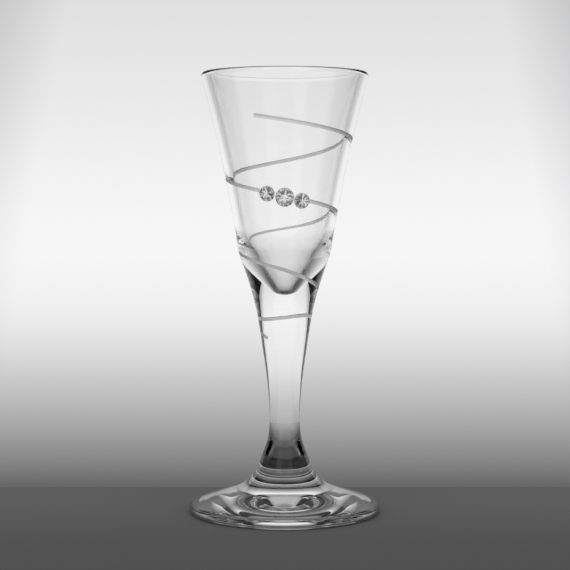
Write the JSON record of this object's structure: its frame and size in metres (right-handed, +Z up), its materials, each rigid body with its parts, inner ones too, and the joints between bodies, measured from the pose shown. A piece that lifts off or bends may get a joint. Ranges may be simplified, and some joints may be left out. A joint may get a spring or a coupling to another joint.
{
  "type": "liqueur glass",
  "caption": "Trumpet-shaped liqueur glass with a solid drawn stem and round foot, a spiral line ground into the bowl, and foil-backed crystals glued across the line.",
  "frame": {"origin": "centre of the flat ring under the foot, on the surface that the glass stands on", "axes": "+Z up the stem to the rim, -Y the side that the crystals face, +X to the right as seen from that side"},
  "size_m": [0.059, 0.059, 0.136],
  "materials": {
    "clear_glass": "clear and fire-polished, with a matte ground line on the outside",
    "cut_crystal": "clear, cut and polished facets",
    "mirror_foil": "bright mirror coat",
    "clear_adhesive": "clear, cured"
  },
  "bodies": {
    "root": {"bowl": "clear_glass", "stem": "clear_glass", "foot": "clear_glass", "crystal_left": "cut_crystal", "crystal_centre": "cut_crystal", "crystal_right": "cut_crystal", "foil_left": "mirror_foil", "foil_centre": "mirror_foil", "foil_right": "mirror_foil", "adhesive_left": "clear_adhesive", "adhesive_centre": "clear_adhesive", "adhesive_right": "clear_adhesive"}
  },
  "joints": []
}
